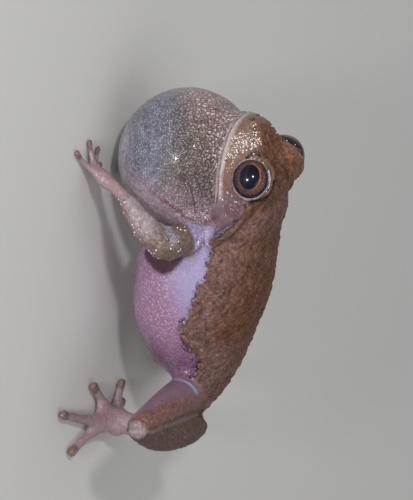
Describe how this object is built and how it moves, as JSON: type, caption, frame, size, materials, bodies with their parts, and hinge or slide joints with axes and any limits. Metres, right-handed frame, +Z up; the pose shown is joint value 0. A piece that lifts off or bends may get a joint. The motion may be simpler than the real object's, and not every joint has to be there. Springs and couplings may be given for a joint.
{
  "type": "pine woods tree frog model",
  "caption": "Life-size crouching tree frog with its throat blown up into a ball in front of its raised head, for a museum case.",
  "frame": {"origin": "middle of the frog's bounding box, on the plane that its hands and feet stand on", "axes": "the frog faces -X, its left side is towards -Y, +Z is up; +X runs from snout to vent"},
  "size_m": [0.0382, 0.0339, 0.0195],
  "materials": {
    "skin_brown": "tan-brown moist granular skin of the head, back and shanks",
    "skin_pale": "pale pinkish-tan moist skin of the arms, hands, tarsi and feet",
    "skin_lilac": "purplish moist skin of the thighs",
    "sac_grey": "thin grey-blue skin stretched over the air-filled throat",
    "ear_brown": "smooth brownish eardrum",
    "eye_copper": "wet dark copper-brown eyeball"
  },
  "bodies": {
    "root": {"head": "skin_brown", "vocal_sac": "sac_grey", "torso": "skin_brown", "upper_arm_left": "skin_pale", "forearm_left": "skin_pale", "hand_left": "skin_pale", "thigh_left": "skin_lilac", "shank_left": "skin_brown", "tarsus_left": "skin_pale", "foot_left": "skin_pale", "eye_left": "eye_copper", "ear_left": "ear_brown", "upper_arm_right": "skin_pale", "forearm_right": "skin_pale", "hand_right": "skin_pale", "thigh_right": "skin_lilac", "shank_right": "skin_brown", "tarsus_right": "skin_pale", "foot_right": "skin_pale", "eye_right": "eye_copper", "ear_right": "ear_brown"}
  },
  "joints": []
}
